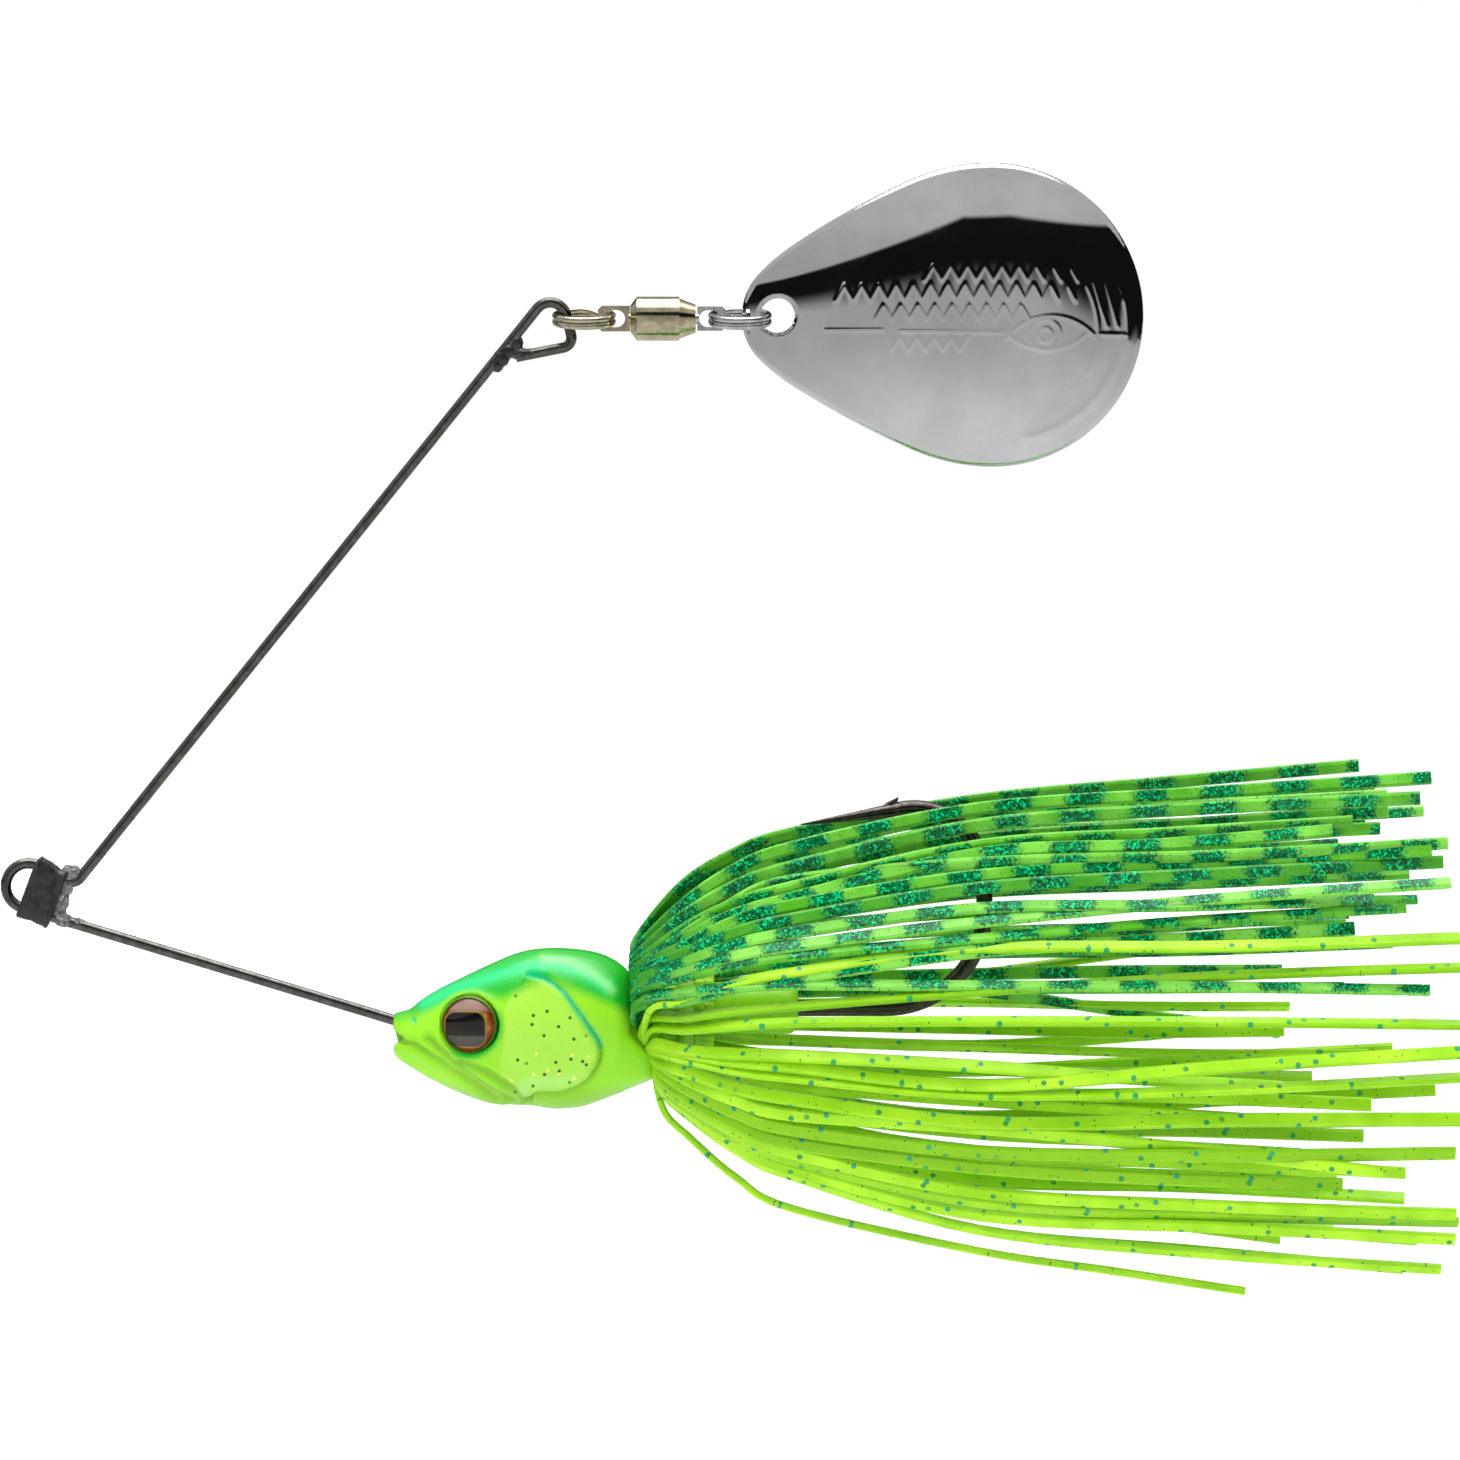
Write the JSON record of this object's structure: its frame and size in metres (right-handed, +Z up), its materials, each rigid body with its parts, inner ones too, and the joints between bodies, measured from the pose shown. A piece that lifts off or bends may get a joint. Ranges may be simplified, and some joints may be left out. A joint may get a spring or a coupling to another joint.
{
  "type": "spinnerbait",
  "caption": "Fishing lure: bent wire arm, fish-shaped head on a hook with a two-tone strand skirt, and a teardrop blade on a ball-bearing swivel.",
  "frame": {"origin": "centre of the line tie's opening in the wire arm", "axes": "+X back along the bait to the skirt's tail, +Z up through blade and hook point, +Y to the fish's right side"},
  "size_m": [0.108, 0.0311, 0.0839],
  "materials": {
    "nickel_wire": "drawn wire, black-nickel sheen",
    "solder": "smooth dark solder fillet",
    "black_rubber": "satin moulded rubber",
    "adhesive": "granular cured adhesive",
    "painted_lead": "gloss clear-coated green to chartreuse paint",
    "eye_print": "metallic copper print with a dark pupil",
    "eye_clear": "clear domed resin",
    "hook_black_nickel": "black nickel plate",
    "strand_barred": "translucent green silicone with emerald glitter bars",
    "strand_lime": "translucent chartreuse silicone with teal flecks",
    "band_rubber": "matt rubber band",
    "ring_nickel": "bright nickel spring wire",
    "ring_steel": "bright stainless spring wire",
    "swivel_brass": "polished gold-nickel plate",
    "swivel_steel": "polished stainless",
    "ball_steel": "polished bearing balls",
    "blade_chrome": "mirror silver plate with pressed scale pattern"
  },
  "bodies": {
    "bait": {"arm_wire": "nickel_wire", "loop_solder": "solder", "tie_sleeve": "black_rubber", "tie_adhesive": "adhesive", "head": "painted_lead", "eye_iris_left": "eye_print", "eye_iris_right": "eye_print", "eye_dome_left": "eye_clear", "eye_dome_right": "eye_clear", "hook": "hook_black_nickel", "skirt_bundle": "strand_lime", "skirt_band": "band_rubber", "skirt_barred_front": "strand_barred", "skirt_barred_rear": "strand_barred", "skirt_lime_front": "strand_lime", "skirt_lime_rear": "strand_lime"},
    "arm_ring": {"arm_split_ring": "ring_nickel"},
    "swivel_body": {"swivel_front_eye": "swivel_brass", "swivel_barrel": "swivel_brass", "swivel_cap": "swivel_brass"},
    "ball_set": {"bearing_balls": "ball_steel"},
    "rear_eye": {"swivel_rear_eye": "swivel_steel", "bearing_washer": "ball_steel"},
    "blade_ring": {"blade_split_ring": "ring_steel"},
    "spinner_blade": {"blade": "blade_chrome"}
  },
  "joints": [
    {"name": "arm_ring_swing", "type": "hinge", "parent": "bait", "child": "arm_ring", "pos_m": [0.04119, 0, 0.0424], "axis": [-0.2328, 0, 0.9725], "range_deg": [-70, 70]},
    {"name": "swivel_tilt", "type": "hinge", "parent": "arm_ring", "child": "swivel_body", "pos_m": [0.0446, 0, 0.0424], "axis": [0, 1, 0], "range_deg": [-90, 45]},
    {"name": "swivel_spin", "type": "hinge", "parent": "swivel_body", "child": "rear_eye", "pos_m": [0.048, 0, 0.0424], "axis": [1, 0, 0], "continuous": true},
    {"name": "ball_spin", "type": "hinge", "parent": "swivel_body", "child": "ball_set", "pos_m": [0.048, 0, 0.0424], "axis": [1, 0, 0], "continuous": true},
    {"name": "blade_ring_tilt", "type": "hinge", "parent": "rear_eye", "child": "blade_ring", "pos_m": [0.052, 0, 0.0424], "axis": [0, 1, 0], "range_deg": [-40, 40]},
    {"name": "blade_kick", "type": "hinge", "parent": "blade_ring", "child": "spinner_blade", "pos_m": [0.05415, 0, 0.0424], "axis": [0, -0.225, 0.9744], "range_deg": [-55, 55]}
  ],
  "couplings": [
    {"joint": "ball_spin", "follows": "swivel_spin", "ratio": 0.5}
  ]
}
